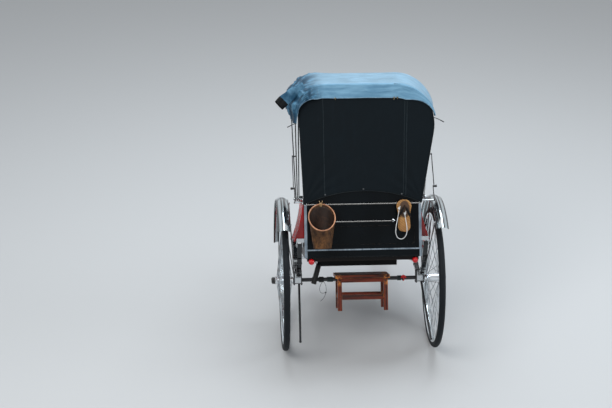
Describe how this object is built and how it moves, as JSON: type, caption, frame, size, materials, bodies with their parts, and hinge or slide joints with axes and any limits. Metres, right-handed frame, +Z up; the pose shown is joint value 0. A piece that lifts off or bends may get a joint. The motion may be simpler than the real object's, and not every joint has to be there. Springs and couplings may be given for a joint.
{
  "type": "pulled rickshaw",
  "caption": "Pulled rickshaw parked on its shafts, with wire wheels, leaf springs, a padded seat and a folding hood on bows.",
  "frame": {"origin": "on the floor, under the middle of the parked rickshaw's box", "axes": "+X to the rickshaw's right, +Y forward along the shafts, +Z up"},
  "size_m": [1.394, 2.4768, 2.1346],
  "materials": {
    "bare_steel": "brushed",
    "black_iron": "gloss black paint",
    "bright_chrome": "polished",
    "red_lacquer": "gloss lacquer",
    "black_lacquer": "gloss lacquer",
    "dark_wood": "oiled",
    "red_cloth": "woven",
    "woven_cane": "woven strips",
    "straw": "plaited",
    "white_cord": "twisted",
    "dark_cord": "twisted",
    "black_rubber": "matt",
    "black_enamel": "gloss enamel",
    "hood_canvas": "waxed canvas",
    "black_vinyl": "glossy vinyl",
    "tyre_rubber": "solid rubber"
  },
  "bodies": {
    "carriage": {"axle": "bare_steel", "spring_left": "black_iron", "spring_right": "black_iron", "spring_irons": "bright_chrome", "shaft_left": "red_lacquer", "shaft_right": "red_lacquer", "crossbar": "bright_chrome", "frame_beams": "dark_wood", "body_side_left": "black_lacquer", "body_side_right": "black_lacquer", "body_back": "black_lacquer", "rear_trim": "bright_chrome", "seat_box": "black_lacquer", "footwell": "black_lacquer", "seat_cushion": "red_cloth", "seat_back": "red_cloth", "arm_pads": "red_cloth", "hood_brackets": "bright_chrome", "back_rails": "bright_chrome", "basket": "woven_cane", "sandals": "straw", "sandal_cord": "white_cord", "stool": "black_lacquer", "axle_grip": "black_rubber", "axle_straps": "black_rubber", "axle_cord": "dark_cord", "anti_tip_bars": "black_iron", "mudguard_left": "black_enamel", "mudguard_right": "black_enamel", "mudguard_stays": "bright_chrome", "hood_cloth_back": "hood_canvas"},
    "left_wheel": {"tyre_left": "tyre_rubber", "rim_left": "bright_chrome", "spokes_left": "bright_chrome", "hub_left": "bright_chrome"},
    "right_wheel": {"tyre_right": "tyre_rubber", "rim_right": "bright_chrome", "spokes_right": "bright_chrome", "hub_right": "bright_chrome"},
    "rear_bow": {"bow_rear": "black_iron", "hood_cloth_rear": "hood_canvas"},
    "mid_bow": {"bow_mid": "black_iron", "vinyl_cover": "black_vinyl"},
    "front_bow": {"bow_front": "black_iron", "hood_cloth_front": "hood_canvas"},
    "left_lower_strut": {"strut_lower_left": "black_iron"},
    "left_upper_strut": {"strut_upper_left": "black_iron"},
    "right_lower_strut": {"strut_lower_right": "black_iron"},
    "right_upper_strut": {"strut_upper_right": "black_iron"}
  },
  "joints": [
    {"name": "wheel_left_spin", "type": "hinge", "parent": "carriage", "child": "left_wheel", "pos_m": [-0.595, -0.67851, 0.56], "axis": [1, 0, 0], "continuous": true},
    {"name": "wheel_right_spin", "type": "hinge", "parent": "carriage", "child": "right_wheel", "pos_m": [0.595, -0.67851, 0.56], "axis": [1, 0, 0], "continuous": true},
    {"name": "hood_fold", "type": "hinge", "parent": "carriage", "child": "rear_bow", "pos_m": [0, -0.63246, 1.25268], "axis": [1, 0, 0], "range_deg": [0, 78], "deforming": ["hood_cloth_back"]},
    {"name": "mid_bow_fold", "type": "hinge", "parent": "rear_bow", "child": "mid_bow", "pos_m": [0, -0.63246, 1.25268], "axis": [1, 0, 0], "range_deg": [0, 16.01], "deforming": ["hood_cloth_rear", "vinyl_cover"]},
    {"name": "front_bow_fold", "type": "hinge", "parent": "mid_bow", "child": "front_bow", "pos_m": [0, -0.63246, 1.25268], "axis": [1, 0, 0], "range_deg": [0, 16.01], "deforming": ["hood_cloth_front"]},
    {"name": "strut_left_lower", "type": "hinge", "parent": "carriage", "child": "left_lower_strut", "pos_m": [-0.514, -0.72504, 1.26508], "axis": [1, 0, 0], "range_deg": [0, 11.4]},
    {"name": "strut_left_upper", "type": "hinge", "parent": "left_lower_strut", "child": "left_upper_strut", "pos_m": [-0.514, -0.63566, 1.34266], "axis": [1, 0, 0], "range_deg": [0, 110.9]},
    {"name": "strut_right_lower", "type": "hinge", "parent": "carriage", "child": "right_lower_strut", "pos_m": [0.5684, -0.72504, 1.26508], "axis": [1, 0, 0], "range_deg": [0, 11.4]},
    {"name": "strut_right_upper", "type": "hinge", "parent": "right_lower_strut", "child": "right_upper_strut", "pos_m": [0.5684, -0.63566, 1.34266], "axis": [1, 0, 0], "range_deg": [0, 110.9]}
  ],
  "couplings": [
    {"joint": "mid_bow_fold", "follows": "hood_fold", "ratio": 0.20513},
    {"joint": "front_bow_fold", "follows": "hood_fold", "ratio": 0.20513},
    {"joint": "strut_left_lower", "follows": "hood_fold", "ratio": 0.14611},
    {"joint": "strut_left_upper", "follows": "hood_fold", "ratio": 1.4211},
    {"joint": "strut_right_lower", "follows": "hood_fold", "ratio": 0.14611},
    {"joint": "strut_right_upper", "follows": "hood_fold", "ratio": 1.4211}
  ]
}
